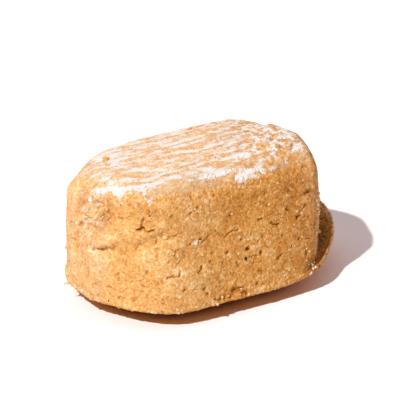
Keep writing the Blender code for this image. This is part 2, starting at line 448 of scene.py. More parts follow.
# soft folds and swellings of the pressed wall: line, half width, depth
FOLDS = (
    (((113.8, 248.4), (121.0, 246.6), (130.0, 243.4)), 0.90, 0.20),
    (((139.6, 245.2), (148.2, 240.2), (156.4, 237.4), (164.0, 233.4)), 0.95, 0.46),
    (((142.0, 238.6), (152.0, 234.6), (162.0, 230.0)), 1.00, -0.42),
    (((94.5, 249.4), (103.0, 249.8), (113.0, 247.6)), 0.45, 0.34),
    (((94.0, 243.6), (103.0, 244.0), (114.0, 242.0)), 1.10, -0.42),
    (((93.0, 192.0), (91.8, 200.0), (88.6, 208.0), (85.0, 216.0)), 0.60, -0.62),
    (((84.6, 194.0), (83.6, 203.0), (80.6, 212.0)), 0.90, 0.55),
    (((76.0, 186.0), (75.4, 198.0), (74.6, 208.0)), 0.70, -0.30),
    (((71.0, 226.0), (78.0, 233.0), (85.0, 240.0), (90.0, 245.0)), 0.80, 0.62),
    (((78.0, 226.0), (85.0, 232.0), (92.0, 238.0)), 0.90, -0.40),
    (((92.0, 252.0), (98.0, 258.0), (104.0, 262.0)), 1.20, -0.40),
    (((79.0, 248.0), (83.0, 260.0), (86.0, 270.0)), 1.20, 0.24),
    (((73.0, 246.0), (74.6, 258.0), (76.6, 270.0)), 0.80, -0.30),
    (((106.0, 207.6), (109.0, 212.6), (108.0, 220.6)), 1.20, 0.78),
    (((91.0, 211.0), (96.0, 216.0), (99.0, 222.6)), 0.90, -0.72),
    (((92.0, 226.0), (98.0, 230.0), (106.0, 231.6)), 0.90, 0.36),
    (((108.0, 227.0), (116.0, 225.0), (124.0, 227.0)), 1.60, -0.28),
    (((176.0, 262.0), (192.0, 256.0), (206.0, 252.0)), 2.20, 0.28),
    (((150.0, 262.0), (168.0, 270.0), (190.0, 274.0)), 2.40, -0.26),
    (((232.0, 214.0), (246.0, 206.0), (262.0, 204.0)), 2.20, 0.24),
    (((282.0, 170.0), (292.0, 178.0), (298.0, 190.0)), 1.80, 0.32),
    (((304.0, 150.0), (309.0, 160.0), (312.0, 172.0)), 0.90, -0.30),
    (((296.0, 206.0), (304.0, 214.0), (308.0, 226.0)), 1.40, 0.30),
)
# lumps of crumb that stuck on near the blunt end: pixel, radius and height in mm
LUMPS = (
    (98.0, 215.0, 0.90, 0.50), (92.4, 221.0, 0.70, 0.45), (88.6, 207.0, 0.60, 0.42), (103.6, 208.0, 0.80, 0.36),
    (96.0, 205.0, 0.50, 0.30), (104.6, 219.0, 0.60, 0.34), (89.6, 241.6, 0.60, 0.42), (92.6, 246.6, 0.50, 0.42),
    (84.6, 227.6, 0.60, 0.30), (86.0, 215.6, 0.55, 0.40), (99.6, 198.6, 0.70, 0.28), (91.0, 198.0, 0.50, 0.34),
    (108.6, 214.0, 0.50, 0.26), (78.0, 222.6, 0.50, 0.26), (70.6, 230.0, 0.55, 0.30), (67.6, 246.0, 0.60, 0.24),
    (100.0, 243.0, 0.70, 0.26), (110.0, 243.6, 0.60, 0.24), (118.0, 222.0, 0.90, 0.24), (126.0, 214.0, 0.90, 0.20),
    (68.6, 273.0, 0.60, 0.34), (71.6, 280.0, 0.60, 0.40), (76.6, 285.6, 0.50, 0.30), (83.6, 290.0, 0.50, 0.25),
    (80.6, 212.6, 0.45, 0.26), (94.6, 232.6, 0.50, 0.28), (240.0, 284.6, 0.60, 0.25), (249.0, 289.0, 0.60, 0.22),
    (233.0, 283.6, 0.50, 0.20), (214.0, 302.6, 0.40, 0.22), (217.6, 303.4, 0.42, 0.28), (223.6, 301.6, 0.46, 0.30),
    (230.4, 299.2, 0.40, 0.26), (236.0, 299.6, 0.40, 0.18),
    (262.6, 128.6, 0.90, 0.22), (270.6, 128.0, 0.80, 0.25), (280.0, 134.6, 0.80, 0.22), (290.6, 142.0, 0.90, 0.25),
    (297.6, 151.0, 0.80, 0.28), (286.0, 150.6, 0.80, 0.22), (275.0, 146.6, 0.90, 0.22), (302.0, 147.0, 0.70, 0.22),
    (266.0, 138.6, 0.70, 0.20), (281.0, 160.6, 0.80, 0.20), (300.6, 164.0, 0.60, 0.20), (262.0, 160.0, 0.90, 0.15),
)
# places where the surface has broken up into crumb: pixel, radius, depth in mm
BROKEN = (
    (88.0, 209.0, 1.5, 0.22), (94.0, 219.0, 1.7, 0.26), (83.6, 218.0, 1.0, 0.18), (90.0, 247.0, 0.9, 0.16),
    (92.6, 193.0, 1.3, 0.18), (97.0, 200.0, 1.3, 0.16), (74.0, 226.0, 1.2, 0.14), (68.6, 279.0, 1.2, 0.18),
    (78.0, 287.6, 1.2, 0.16), (236.6, 290.6, 1.3, 0.18), (222.6, 300.6, 1.6, 0.24), (247.0, 294.0, 0.9, 0.16),
    (261.0, 284.0, 0.8, 0.10), (300.6, 214.6, 1.6, 0.15), (309.6, 194.6, 1.6, 0.20), (312.6, 224.0, 1.4, 0.16),
    (258.0, 250.6, 1.3, 0.12), (262.0, 238.0, 1.1, 0.10), (262.0, 130.0, 2.4, 0.16), (275.0, 137.0, 2.6, 0.20),
    (289.0, 143.0, 2.6, 0.20), (299.6, 151.0, 2.0, 0.20), (276.0, 149.0, 2.4, 0.18), (256.0, 146.0, 2.2, 0.12),
    (252.0, 171.0, 2.0, 0.14), (270.0, 165.0, 1.8, 0.14), (100.0, 171.0, 1.6, 0.14), (240.0, 181.0, 1.4, 0.12),
)
# thick flour: pixel, half width along the drag lines, half width across, strength
FLOUR = (
    (119.0, 196.0, 0.80, 0.85, 0.85), (118.0, 190.8, 1.90, 0.55, 0.60), (103.0, 191.2, 1.50, 0.60, 0.58),
    (96.6, 190.8, 0.90, 0.60, 0.52), (111.0, 186.8, 1.60, 0.50, 0.50), (133.0, 187.4, 2.00, 0.55, 0.58),
    (147.0, 185.4, 2.20, 0.50, 0.68), (159.0, 183.0, 2.00, 0.45, 0.55), (170.0, 184.8, 1.10, 0.40, 0.35),
    (147.0, 191.6, 0.90, 0.35, 0.55), (143.6, 195.6, 0.45, 0.60, 0.60), (148.6, 199.4, 1.00, 0.35, 0.65),
    (153.2, 194.6, 0.45, 0.60, 0.50), (172.6, 190.4, 0.50, 0.45, 0.40), (200.0, 178.4, 1.60, 0.60, 0.50),
    (212.0, 175.6, 2.00, 0.60, 0.60), (224.0, 172.6, 2.20, 0.50, 0.60), (238.6, 178.2, 1.30, 0.90, 0.75),
    (246.0, 174.4, 1.80, 0.60, 0.60), (250.0, 169.8, 1.40, 0.60, 0.55), (260.0, 167.4, 1.10, 0.60, 0.60),
    (272.6, 166.6, 0.80, 0.60, 0.65), (236.0, 168.6, 2.20, 0.40, 0.50), (274.6, 150.0, 1.00, 0.80, 0.80),
    (277.6, 144.6, 1.10, 0.50, 0.70), (267.0, 130.4, 1.60, 0.80, 0.65), (262.0, 136.0, 1.60, 0.50, 0.45),
    (290.0, 151.6, 0.90, 0.60, 0.70), (296.6, 149.0, 0.70, 1.10, 0.80), (299.0, 141.0, 0.80, 1.00, 0.60),
    (204.0, 139.6, 1.60, 0.50, 0.45), (214.0, 137.2, 1.00, 0.40, 0.40), (160.0, 147.6, 1.60, 0.40, 0.35),
    (118.0, 163.0, 1.80, 0.40, 0.35), (124.0, 173.0, 1.80, 0.40, 0.40), (130.0, 181.6, 2.20, 0.35, 0.45),
    (186.0, 163.4, 2.00, 0.35, 0.30), (196.0, 148.0, 2.00, 0.35, 0.30), (246.0, 147.4, 1.40, 0.50, 0.35),
    (224.0, 158.6, 1.60, 0.40, 0.30), (98.4, 176.6, 1.60, 0.50, 0.35), (92.6, 182.4, 0.90, 0.40, 0.35),
    (196.2, 243.0, 0.62, 0.55, 0.80), (151.6, 312.4, 1.20, 0.30, 0.60), (144.0, 309.6, 0.70, 0.25, 0.35),
    (326.2, 213.8, 0.40, 0.50, 0.70), (330.0, 216.0, 0.50, 0.50, 0.70), (320.6, 200.6, 0.50, 1.00, 0.45),
    (314.4, 266.4, 0.22, 0.70, 0.95), (311.8, 273.6, 0.22, 0.40, 0.80), (306.8, 237.2, 0.14, 0.50, 0.50),
    (90.6, 203.4, 0.40, 0.90, 0.45), (84.6, 213.4, 0.40, 0.90, 0.40), (72.0, 231.6, 0.50, 0.50, 0.40),
    # dusted lumps of the blunt end
    (81.6, 209.6, 0.40, 0.45, 0.75), (84.6, 216.6, 0.40, 0.60, 0.70), (89.0, 211.6, 0.45, 0.55, 0.55),
    (91.6, 222.4, 0.60, 0.35, 0.70), (96.6, 219.6, 0.60, 0.35, 0.50), (92.0, 199.6, 0.55, 0.60, 0.60),
    (97.6, 204.6, 0.60, 0.60, 0.45), (102.6, 200.6, 0.80, 0.50, 0.45), (88.0, 245.6, 0.35, 0.50, 0.75),
    (91.0, 250.0, 0.40, 0.40, 0.65), (92.6, 236.0, 0.50, 0.35, 0.55), (84.6, 231.0, 0.60, 0.35, 0.45),
    (70.6, 224.0, 0.60, 0.30, 0.60), (98.0, 252.6, 0.90, 0.30, 0.40), (84.6, 189.0, 0.40, 0.50, 0.45),
    # and ragged patches along the right part of the near rim
    (252.0, 176.4, 1.00, 0.55, 0.62), (243.0, 179.4, 0.80, 0.50, 0.55), (263.6, 171.6, 1.00, 0.55, 0.62),
    (258.0, 177.0, 0.50, 0.40, 0.50), (271.6, 170.6, 0.60, 0.50, 0.50), (277.0, 173.6, 0.35, 0.40, 0.45),
)

# ================================================================ fine surface
form = Form(*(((600, 18, 60, 36, 27, 12, 12))))
raw = form.points
faces = form.faces
place = raw - MIDDLE
normal = normals_of(raw, faces)
x, y, z = place.T
up = normal[:, 2]
upward = step(0.55, 0.92, up) * step(15.0, 18.0, z)      # 1 on the top
side = 1.0 - step(0.45, 0.8, np.abs(up))                 # 1 on the walls
alive = step(0.6, 2.2, z)                                # 0 where it rests
under = step(0.2, 0.6, -up)

press = dent_depth(raw)                                  # inward, mm
# painted shade in cracks and pits, by how deep they are
hollow = np.zeros(len(place))                            # paint: how deep in a crack
flour = np.zeros(len(place))                             # paint: flour
ragged = noise(place * 2.6, 11) * 0.5 + noise(place * 5.3, 12) * 0.35


def near(path, reach):
    """The vertices close to a line of points, and how far from it they are."""
    low, high = path.min(0) - reach, path.max(0) + reach
    chosen = np.where(((place > low) & (place < high)).all(1))[0]
    if not len(chosen):
        return chosen, np.zeros(0)
    away = np.full(len(chosen), 99.0)
    for spot in path:
        away = np.minimum(away, ((place[chosen] - spot) ** 2).sum(1))
    return chosen, np.sqrt(away)


def carve(path, wide, deep, jag=0.5, soft=False):
    if path is None or not len(path):
        return
    chosen, away = near(path, wide * (3.5 if soft else 2.6) + 0.3)
    if not len(chosen):
        return
    if soft:
        press[chosen] += deep * np.exp(-(away / wide) ** 2)
        return
    away = away + ragged[chosen] * wide * jag
    weight = 1.0 - step(wide * 0.45, wide * 1.5, away)
    press[chosen] += deep * weight
    hollow[chosen] = np.maximum(hollow[chosen], weight * min(1.0, deep / 0.55))


def spot_path(px, py):
    hit = on_surface(px, py)
    return None if hit is None else hit[0][None]


for n, (line, wide, deep) in enumerate(CRACKS):
    crisp = n < 3
    carve(along_surface(line, 0.10), max(wide, 0.12) * (1.0 if crisp else 1.15), deep * (1.0 if crisp else 0.8),
          0.35 if crisp else 1.25)
for px, py, wide, deep in PITS:
    carve(spot_path(px, py), wide * 0.88, deep, 1.0)
for px, py, wide, deep in NICKS:
    carve(spot_path(px, py), wide, deep, 0.6)
for line, wide, deep in FOLDS:
    carve(along_surface(line), wide, deep, soft=True)
for px, py, wide, tall in LUMPS:
    spot = spot_path(px, py)
    if spot is not None:
        chosen, away = near(spot, wide * 2.0)
        press[chosen] -= tall * (1.0 - step(0.35, 1.25, away / wide + ragged[chosen] * 0.5))

for px, py, wide, deep in BROKEN:
    spot = spot_path(px, py)
    if spot is not None:
        chosen, away = near(spot, wide * 2.0)
        weight = np.exp(-(away / wide) ** 2)
        press[chosen] += deep * weight * (1.5 * noise(place[chosen] * 1.15, 57) + 0.7 * noise(place[chosen] * 2.5, 58))

# small pits all over the walls, the unseen ones too
first, second, own = nearest(place / 1.9, 21)
pit_size = 0.16 + 0.18 * own
pit = (1.0 - step(pit_size * 0.6, pit_size * 1.4, first * 1.9 + ragged * 0.12)) * (own > 0.62) * side
press += pit * (0.14 + 0.25 * own)
# painted shade in the pits too
hollow = np.maximum(hollow, pit * 0.55)

# short cracks on the sides that the front doesn't show, so that they match it
rng = np.random.default_rng(4)
for n in range(26):
    turn = math.radians(rng.uniform(-35.0, 165.0))
    height = rng.uniform(6.5, 17.5)
    reach = wall_radius(math.degrees(turn), height)
    start = np.array([reach * math.cos(turn), reach * math.sin(turn), height]) - MIDDLE
    sideways = np.array([-math.sin(turn), math.cos(turn), 0.0])
    heading = rng.uniform(-0.6, 0.6)
    length = rng.uniform(0.4, 2.2)
    steps = np.linspace(0.0, 1.0, 12)[:, None]
    bend = np.sin(steps * rng.uniform(2.0, 5.0)) * rng.uniform(0.05, 0.25)
    line = start + steps * length * (sideways * math.cos(heading) + np.array([0, 0, 1.0]) * math.sin(heading)) \
        + bend * np.array([0, 0, 1.0])
    carve(line, rng.uniform(0.08, 0.15), rng.uniform(0.25, 0.5), 0.8)

# drag lines of the top: shallow, wavy grooves that run along the biscuit
rx, ry = raw[:, 0], raw[:, 1]
across = ry - 0.0075 * (rx + 2.1) ** 2
flow = np.stack([rx, across, z * 0.0], 1)
sway = noise(flow * (0.24, 0.34, 0.0) + (0, 0, 3.0), 31) * 0.55
bent = flow + np.stack([sway * 0.0, sway, sway * 0.0], 1)
lines = np.cos(2.0 * math.pi * (bent[:, 1] / 1.9 + 0.8 * noise(flow * (0.10, 0.25, 0.0) + (0, 0, 9.0), 36)))
streak = noise(bent * (0.16, 0.95, 0.0) + (0, 0, 5.0), 32)
fibre = noise(bent * (0.50, 2.3, 0.0) + (0, 0, 7.0), 33)
patchy = noise(place * (0.75, 0.75, 0.2), 34) + 0.6 * noise(place * (1.6, 1.6, 0.2), 35)
broken = step(3.0, 11.0, rx) * 0.75
drag = (0.30 * lines + 0.80 * streak + 0.20 * patchy) * (1.0 - broken) + 0.9 * patchy * broken + 0.50 * fibre
press -= upward * 0.075 * drag

# a thin film of flour: more in the grooves, less on the ridges between them
film = 0.50 - 0.40 * drag + 0.10 * noise(place * 0.20, 41) + 0.13 * noise(place * 0.45, 45)
film += 0.05 * step(-1.0, 5.0, -(ry + 4.0)) + 0.03 * step(-1.0, 6.0, ry)
film -= broken * (0.42 * patchy + 0.05)
film = upward * np.clip(film, 0.0, 1.0)

for px, py, wide, tall, strength in FLOUR:
    hit = on_surface(px, py)
    if hit is None:
        continue
    centre, facing = hit
    one = np.cross(facing, BACK) if facing[2] > 0.5 else np.cross(np.array([0.0, 0.0, 1.0]), facing)
    if facing[2] > 0.5:
        one = np.array([1.0, 0.015 * (centre[0] + MIDDLE[0] + 2.1), 0.0])
    one = one / np.linalg.norm(one)
    two = np.cross(facing, one)
    away = place - centre
    chosen = np.where((np.abs(away) < 2.6 * max(wide, tall)).all(1))[0]
    local = away[chosen]
    spread = (local @ one / wide) ** 2 + (local @ two / tall) ** 2 + (local @ facing / max(wide, tall)) ** 2
    weight = np.exp(-spread) * strength * 0.74 * (1.0 + 1.1 * ragged[chosen])
    flour[chosen] = np.minimum(1.0, flour[chosen] * (1.0 - 0.3 * weight) + weight)

# flour that spilt over the rim, thinning down the wall
spill = step(17.5, 22.0, z + 1.6 * noise(place * 0.35, 42) + 0.8 * noise(place * 1.1, 43)) * (1.0 - upward)
flour = np.maximum(flour, spill * (0.24 + 0.36 * noise(place * (1.3, 1.3, 0.9), 44)) * step(-0.2, 0.2, up)
                   * (1.0 - 0.75 * step(2.0, 9.0, rx)))
flour *= alive
press -= 0.07 * step(0.45, 0.9, flour) * (0.7 + ragged)

# the crumb: coarse lumps, grains and fine grit
press -= 0.16 * noise(place / 5.5, 51) * alive
press -= 0.060 * noise(place / 1.9, 52) * alive
grain_near, grain_next, grain_own = nearest(place / 0.56, 53)
grain = (1.0 - step(0.0, 0.62, grain_near)) * (0.25 + 0.75 * grain_own)
press -= (0.045 * grain - 0.015) * (1.0 - 0.45 * upward) * alive
press -= 0.022 * noise(place * 2.1, 54) * alive
lumps = step(0.55, 0.95, noise(place / 1.3, 55)) * step(0.1, 0.5, noise(place / 4.0, 56))
press -= 0.10 * lumps * side

# crumbly, uneven bottom edge
rim_band = np.exp(-((z - EDGE_Z) / 0.9) ** 2)
press += rim_band * (0.10 * noise(place * 0.9, 61) + 0.08 * noise(place * 2.2, 62))

# the wall goes straight down behind the lip
phi_now = np.arctan2(raw[:, 1], raw[:, 0])
lip_now, reach_now = lip_share(phi_now), lip_reach(phi_now)
wall_here = outline(side_distances(0.1), phi_now)
out_by = np.hypot(raw[:, 0], raw[:, 1]) - wall_here
low_down = 1.0 - step(8.5, 9.5, z)
lip_front = step(5.0, -5.0, np.degrees(phi_now) - LIP_FACES)
press += 0.38 * step(0.06, 0.30, lip_now) * np.exp(-((out_by - 0.30) / 0.45) ** 2) * low_down * (1.0 - under)

# vertical strokes of a thin pale smear at the blunt end and at the right
turn_now = np.degrees(np.arctan2(raw[:, 1], raw[:, 0])) % 360.0
stroke = noise(np.stack([turn_now * 0.42, z * 0.17, z * 0.0], 1), 71) * 0.7 \
    + noise(np.stack([turn_now * 0.9, z * 0.4, z * 0.0], 1), 72) * 0.5
blunt = step(160.0, 172.0, turn_now) * (1.0 - step(189.0, 199.0, turn_now))
right_end = step(314.0, 326.0, turn_now)
smear = np.clip((blunt * (0.45 + 0.6 * stroke) + right_end * (0.18 + 0.45 * stroke)) * side, 0.0, 1.0)
press -= 0.05 * smear

# how far out on the lip, painted shade in its hollow and over its sunlit tip, painted light along its rim, and painted
# shade on the side turned away from the key light
in_sun = lip_front * (1.0 - step(0.45, 0.72, lip_now))
# painted shade: the hollow of the lip, where the wall keeps the key light off
lipped = (lip_front * step(0.45, 0.72, lip_now) + (1.0 - lip_front) * step(0.10, 0.40, lip_now)) \
    * step(-0.10, 0.40, out_by) * (1.0 - under) * low_down
lip_out = np.clip(out_by / (LIP_OUT * np.maximum(0.15, reach_now)), 0.0, 1.0) * (0.60 + 0.40 * np.maximum(lip_front, step(0.3, 0.8, lip_now)))
# painted shade over the front tip of the lip, where it reaches out into the key light
browned = in_sun * step(0.03, 0.20, lip_now) * step(-0.10, 0.40, out_by) * (1.0 - under) * low_down
browned *= 1.0 - 0.45 * step(0.35, 0.95, out_by / (EDGE_OUT + LIP_OUT * reach_now))
# painted shade: darker on the walls turned away from the key light, and low down near the bottom edge
toast = np.interp(turn_now, (0.0, 20.0, 60.0, 210.0, 232.0, 250.0, 280.0, 320.0, 335.0), (1.0, 1.0, 0.0, 0.0, 0.14, 0.28, 0.38, 0.95, 1.05))
toast *= 0.45 + 0.55 * side
toast *= 0.85 + 0.15 * step(10.0, 19.0, z + 2.0 * noise(place * 0.3, 81)) + 0.25 * (1.0 - step(3.0, 11.0, z))
baked = under * (1.0 - step(5.0, 8.0, z))               # the underside, browner
# painted shade: the underside darkest where it nears the table
deep = under * (1.0 - step(0.9, 2.3, z))                # and darkest where it nears the table

# ------------------------------------------------------------- move the points
press = np.where(z > EDGE_Z * 0.5, press, press * step(0.3, EDGE_Z * 0.5, z))
final = place - normal * press[:, None]
final[:, 2] = np.maximum(final[:, 2], 0.0)
# painted shade and light: the fine relief's dents are darkened and its raised grain lightened in the colour
relief = np.clip(-(press - dent_depth(raw)) / 0.25, -1.0, 1.0)


def write_mesh(name, points, triangles):
    mesh = bpy.data.meshes.new(name)
    mesh.vertices.add(len(points))
    mesh.vertices.foreach_set("co", (points * MM).astype(np.float32).ravel())
    mesh.loops.add(len(triangles) * 3)
    mesh.loops.foreach_set("vertex_index", triangles.astype(np.int32).ravel())
    mesh.polygons.add(len(triangles))
    mesh.polygons.foreach_set("loop_start", (np.arange(len(triangles)) * 3).astype(np.int32))
    mesh.update(calc_edges=True)
    mesh.validate()
    thing = bpy.data.objects.new(name, mesh)
    bpy.context.scene.collection.objects.link(thing)
    return thing


def paint(thing, **fields):
    for name, values in fields.items():
        layer = thing.data.attributes.new(name, "FLOAT", "POINT")
        layer.data.foreach_set("value", np.asarray(values, np.float32))


body = write_mesh("biscuit_crumb", final, faces)
body.data.shade_smooth()
paint(body, flour=flour, hollow=hollow, smear=smear, relief=relief, film=film, lipped=lipped, lip_out=lip_out,
      toast=toast, baked=baked, deep=deep, browned=browned)

# =================================================================== materials


def add(nodes, kind, values=None, **settings):
    made = nodes.new(kind)
    for key, value in settings.items():
        setattr(made, key, value)
    for key, value in (values or {}).items():
        socket = made.inputs[key]
        if isinstance(value, bpy.types.NodeSocket):
            made.id_data.links.new(value, socket)
        else:
            socket.default_value = value
    return made


def maths(nodes, operation, a, b=0.0, c=None, clamp=False):
    values = {0: a, 1: b}
    if c is not None:
        values[2] = c
    return add(nodes, "ShaderNodeMath", values, operation=operation, use_clamp=clamp).outputs[0]


def blend(nodes, factor, a, b, kind="MIX"):
    return add(nodes, "ShaderNodeMix", {0: factor, 6: a, 7: b}, data_type="RGBA", blend_type=kind,
               clamp_factor=True).outputs[2]


def ramp(nodes, value, *stops):
    made = add(nodes, "ShaderNodeValToRGB", {0: value})
    elements = made.color_ramp.elements
    while len(elements) < len(stops):
        elements.new(0.5)
    for element, (place_at, colour) in zip(elements, stops):
        element.position = place_at
        element.color = (*colour, 1.0)
    return made.outputs[0]


def smooth(nodes, value, low, high):
    return add(nodes, "ShaderNodeMapRange", {"Value": value, "From Min": low, "From Max": high,
                                             "To Min": 0.0, "To Max": 1.0},
               interpolation_type="SMOOTHSTEP").outputs[0]


def start_material(name):
    material = bpy.data.materials.new(name)
    material.use_nodes = True
    nodes = material.node_tree.nodes
    shader = nodes["Principled BSDF"]
    where = add(nodes, "ShaderNodeTexCoord").outputs["Object"]
    where = add(nodes, "ShaderNodeVectorMath", {0: where, "Scale": 1000.0}, operation="SCALE").outputs[0]
    return material, nodes, shader, where


def tex_noise(nodes, where, scale, detail=2.0, roughness=0.5, warp=0.0):
    return add(nodes, "ShaderNodeTexNoise", {"Vector": where, "Scale": scale, "Detail": detail,
                                             "Roughness": roughness, "Distortion": warp}).outputs[0]


def tex_cells(nodes, where, scale, feature="F1"):
    made = add(nodes, "ShaderNodeTexVoronoi", {"Vector": where, "Scale": scale, "Randomness": 1.0},
               feature=feature)
    own = None
    if feature == "F1":
        own = add(nodes, "ShaderNodeSeparateColor", {0: made.outputs["Color"]}).outputs
    return made.outputs["Distance"], own


def crumb_material():
    material, nodes, shader, where = start_material("pressed_crumb")
    read = {name: add(nodes, "ShaderNodeAttribute", attribute_name=name).outputs["Fac"]
            for name in ("flour", "hollow", "smear", "relief", "film", "lipped", "lip_out", "toast", "baked", "deep", "browned")}
    broad = tex_noise(nodes, where, 0.14, 2.0)
    middle = tex_noise(nodes, where, 0.62, 3.0, 0.6)
    grit = tex_noise(nodes, where, 2.4, 3.0, 0.65)
    far, own = tex_cells(nodes, where, 1.9)
    far_fine, own_fine = tex_cells(nodes, where, 3.3)

    # tone of the crumb, from dark ochre to cream
    tone = maths(nodes, "MULTIPLY_ADD", broad, 0.28, 0.0)
    tone = maths(nodes, "MULTIPLY_ADD", middle, 0.60, tone)
    tone = maths(nodes, "MULTIPLY_ADD", own[0], 0.30, tone)
    tone = maths(nodes, "MULTIPLY_ADD", own_fine[0], 0.34, tone)
    tone = maths(nodes, "MULTIPLY_ADD", grit, 0.80, tone)
    tone = maths(nodes, "SUBTRACT", tone, 0.665)
    # painted shade in the dents of the fine relief, painted light on its raised grain
    tone = maths(nodes, "MULTIPLY_ADD", read["relief"], 0.12, tone)
    colour = ramp(nodes, tone,
                  (0.02, (0.43, 0.140, 0.014)),
                  (0.32, (0.70, 0.290, 0.050)),
                  (0.54, (0.82, 0.390, 0.088)),
                  (0.72, (0.90, 0.530, 0.195)),
                  (0.92, (0.95, 0.740, 0.470)))
    # paler at the blunt end; painted shade on the walls turned away from the key light and low down near the bottom
    # edge
    along = add(nodes, "ShaderNodeSeparateXYZ", {0: where}).outputs[0]
    pale = smooth(nodes, maths(nodes, "MULTIPLY_ADD", broad, -9.0, along), -4.0, -19.0)
    colour = blend(nodes, maths(nodes, "MULTIPLY", pale, 0.12), colour, (0.95, 0.70, 0.40, 1.0))
    colour = blend(nodes, read["toast"], colour, (0.79, 0.72, 0.65, 1.0), "MULTIPLY")
    colour = blend(nodes, read["baked"], colour, (0.95, 0.68, 0.42, 1.0), "MULTIPLY")
    # painted shade on the underside, darkest where it nears the table
    colour = blend(nodes, read["deep"], colour, (0.40, 0.27, 0.15, 1.0), "MULTIPLY")

    # painted shade over the front tip of the lip that the key light reaches
    colour = blend(nodes, read["browned"], colour, (0.60, 0.55, 0.40, 1.0), "MULTIPLY")

    # amber bits under the surface
    amber_far, amber_own = tex_cells(nodes, where, 0.52)
    amber = maths(nodes, "MULTIPLY", smooth(nodes, amber_far, 0.34, 0.10), smooth(nodes, amber_own[1], 0.70, 0.78))
    amber = maths(nodes, "MULTIPLY", amber, 0.45)
    colour = blend(nodes, amber, colour, (0.72, 0.27, 0.045, 1.0))

    # pin pricks: small dents with painted shade in them
    pore_far, pore_own = tex_cells(nodes, where, 0.95)
    pore = maths(nodes, "MULTIPLY", smooth(nodes, pore_far, 0.16, 0.07), smooth(nodes, pore_own[0], 0.66, 0.70))
    colour = blend(nodes, maths(nodes, "MULTIPLY", pore, 0.70), colour, (0.36, 0.150, 0.030, 1.0))

    # painted shade in cracks and pits: darker and warmer
    colour = blend(nodes, maths(nodes, "MULTIPLY", read["hollow"], 0.92), colour, (0.56, 0.225, 0.016, 1.0))

    # thin pale smear
    smeared = maths(nodes, "MULTIPLY", read["smear"], smooth(nodes, grit, 0.30, 0.62))
    colour = blend(nodes, maths(nodes, "MULTIPLY", smeared, 0.65), colour, (0.76, 0.57, 0.43, 1.0))

    # the film on the top: a veil that thickens in the grooves and thins to nothing in places
    speck = tex_noise(nodes, where, 4.5, 2.0, 0.6)
    wavy = tex_noise(nodes, where, 1.5, 3.0, 0.6, 0.4)
    drawn = add(nodes, "ShaderNodeVectorMath", {0: where, 1: (0.32, 1.0, 1.0)}, operation="MULTIPLY").outputs[0]
    drawn = tex_noise(nodes, drawn, 1.9, 3.0, 0.6, 0.3)
    veil = maths(nodes, "MULTIPLY_ADD", maths(nodes, "SUBTRACT", drawn, 0.5), 1.10, read["film"])
    veil = maths(nodes, "MULTIPLY_ADD", maths(nodes, "SUBTRACT", wavy, 0.5), 0.60, veil)
    veil = maths(nodes, "MULTIPLY_ADD", maths(nodes, "SUBTRACT", speck, 0.5), 0.60, veil)
    veil = smooth(nodes, veil, 0.36, 0.72)
    veil = maths(nodes, "MULTIPLY_ADD", veil, 0.78, 0.15)
    on_top = smooth(nodes, read["film"], 0.02, 0.22)
    veil = maths(nodes, "MULTIPLY", veil, on_top)
    colour = blend(nodes, on_top, colour, (0.92, 0.98, 1.0, 1.0), "MULTIPLY")
    colour = blend(nodes, veil, colour, (0.800, 0.785, 0.742, 1.0))

    # thick flour
    dust = maths(nodes, "MULTIPLY_ADD", maths(nodes, "SUBTRACT", tex_noise(nodes, where, 1.9, 3.0, 0.65), 0.5), 1.80,
                 read["flour"])
    dust = maths(nodes, "MULTIPLY_ADD", maths(nodes, "SUBTRACT", own_fine[1], 0.5), 0.22, dust)
    dusted = smooth(nodes, dust, 0.34, 0.78)
    present = smooth(nodes, read["flour"], 0.05, 0.25)
    dusted = maths(nodes, "MULTIPLY", dusted, present)
    colour = blend(nodes, maths(nodes, "MULTIPLY", dusted, 0.86), colour, (0.865, 0.835, 0.795, 1.0))

    # the lip: painted shade, brown by the wall and ochre further out, and painted light, pale along its rim
    colour_lip = ramp(nodes, maths(nodes, "MULTIPLY_ADD", maths(nodes, "SUBTRACT", grit, 0.5), 0.5, read["lip_out"]),
                      (0.20, (0.165, 0.068, 0.003)),
                      (0.60, (0.330, 0.160, 0.012)),
                      (0.84, (0.560, 0.305, 0.070)),
                      (1.00, (0.680, 0.440, 0.240)))
    grainy = maths(nodes, "MULTIPLY_ADD", own_fine[0], 0.90, maths(nodes, "MULTIPLY_ADD", own[0], 0.60, 0.30))
    grainy_tone = add(nodes, "ShaderNodeCombineColor", {0: grainy, 1: grainy, 2: grainy}).outputs[0]
    colour_lip = blend(nodes, 1.0, colour_lip, grainy_tone, "MULTIPLY")
    colour = blend(nodes, read["lipped"], colour, colour_lip)
    shader.inputs["Base Color"].default_value = (0.8, 0.45, 0.16, 1.0)
    material.node_tree.links.new(colour, shader.inputs["Base Color"])

    # dry and matt, with a few sugar faces that catch the light
    glint = maths(nodes, "MULTIPLY", smooth(nodes, own_fine[2], 0.93, 0.96), smooth(nodes, far_fine, 0.55, 0.30))
    rough_value = maths(nodes, "MULTIPLY_ADD", glint, -0.45, 0.82)
    rough_value = maths(nodes, "MULTIPLY_ADD", dusted, 0.12, rough_value)
    material.node_tree.links.new(rough_value, shader.inputs["Roughness"])
    shader.inputs["Specular IOR Level"].default_value = 0.24

    # grit in relief
    height = maths(nodes, "MULTIPLY_ADD", far, -1.0, 0.0)
    height = maths(nodes, "MULTIPLY_ADD", far_fine, -0.65, height)
    height = maths(nodes, "MULTIPLY_ADD", grit, 1.4, height)
    height = maths(nodes, "MULTIPLY_ADD", pore, -1.2, height)
    bump = add(nodes, "ShaderNodeBump", {"Strength": 0.9, "Distance": 0.00009, "Height": height})
    material.node_tree.links.new(bump.outputs[0], shader.inputs["Normal"])
    return material


